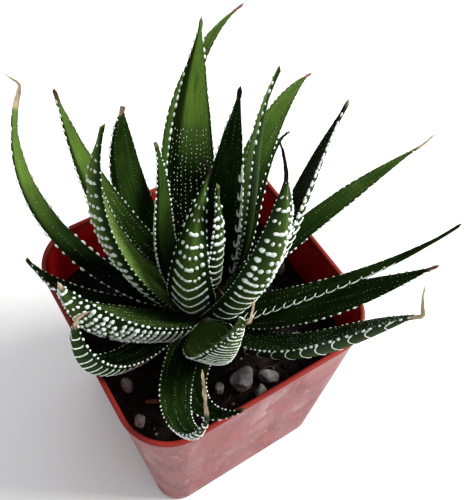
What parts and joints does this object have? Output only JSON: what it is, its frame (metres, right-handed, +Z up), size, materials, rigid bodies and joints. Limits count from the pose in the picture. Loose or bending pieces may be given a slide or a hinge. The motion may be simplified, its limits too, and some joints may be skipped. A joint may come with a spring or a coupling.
{
  "type": "zebra haworthia in a square nursery pot",
  "caption": "Small zebra haworthia succulent, a rosette of thick pointed leaves with raised white bands, growing in soil and pebbles in a square red plastic nursery pot.",
  "frame": {"origin": "middle of the pot's flat underside, where the pot stands", "axes": "+Z up; X and Y square to the pot's sides, with the picture taken from the -X -Y side, above the long -Y wall"},
  "size_m": [0.1099, 0.1118, 0.1477],
  "materials": {
    "pot_plastic": "thin moulded red plastic, glossy, with a dusty bloom outside",
    "soil": "damp dark potting soil, crumbly and matt",
    "stem": "short pale green stem, matt",
    "young_leaf": "waxy green skin with raised white bands",
    "leaf": "waxy deep green skin with raised white bands",
    "old_leaf": "waxy dark green skin with raised white bands and dried tips",
    "pebble": "rough grey-white pumice, matt",
    "bark": "red-brown bark, fibrous and matt"
  },
  "bodies": {
    "root": {"pot": "pot_plastic", "soil": "soil", "stem": "stem", "inner_leaf_1": "young_leaf", "inner_leaf_2": "young_leaf", "inner_leaf_3": "young_leaf", "inner_leaf_4": "young_leaf", "inner_leaf_5": "young_leaf", "inner_leaf_6": "young_leaf", "inner_leaf_7": "young_leaf", "middle_leaf_1": "leaf", "middle_leaf_2": "leaf", "middle_leaf_3": "leaf", "middle_leaf_4": "leaf", "middle_leaf_5": "leaf", "middle_leaf_6": "leaf", "middle_leaf_7": "leaf", "middle_leaf_8": "leaf", "middle_leaf_9": "leaf", "outer_leaf_1": "old_leaf", "outer_leaf_2": "old_leaf", "outer_leaf_3": "old_leaf", "outer_leaf_4": "old_leaf", "outer_leaf_5": "old_leaf", "outer_leaf_6": "old_leaf", "outer_leaf_7": "old_leaf", "outer_leaf_8": "old_leaf", "outer_leaf_9": "old_leaf", "pebble_1": "pebble", "pebble_2": "pebble", "pebble_3": "pebble", "pebble_4": "pebble", "pebble_5": "pebble", "pebble_6": "pebble", "pebble_7": "pebble", "pebble_8": "pebble", "pebble_9": "pebble", "pebble_10": "pebble", "pebble_11": "pebble", "pebble_12": "pebble", "bark_sliver": "bark"}
  },
  "joints": []
}
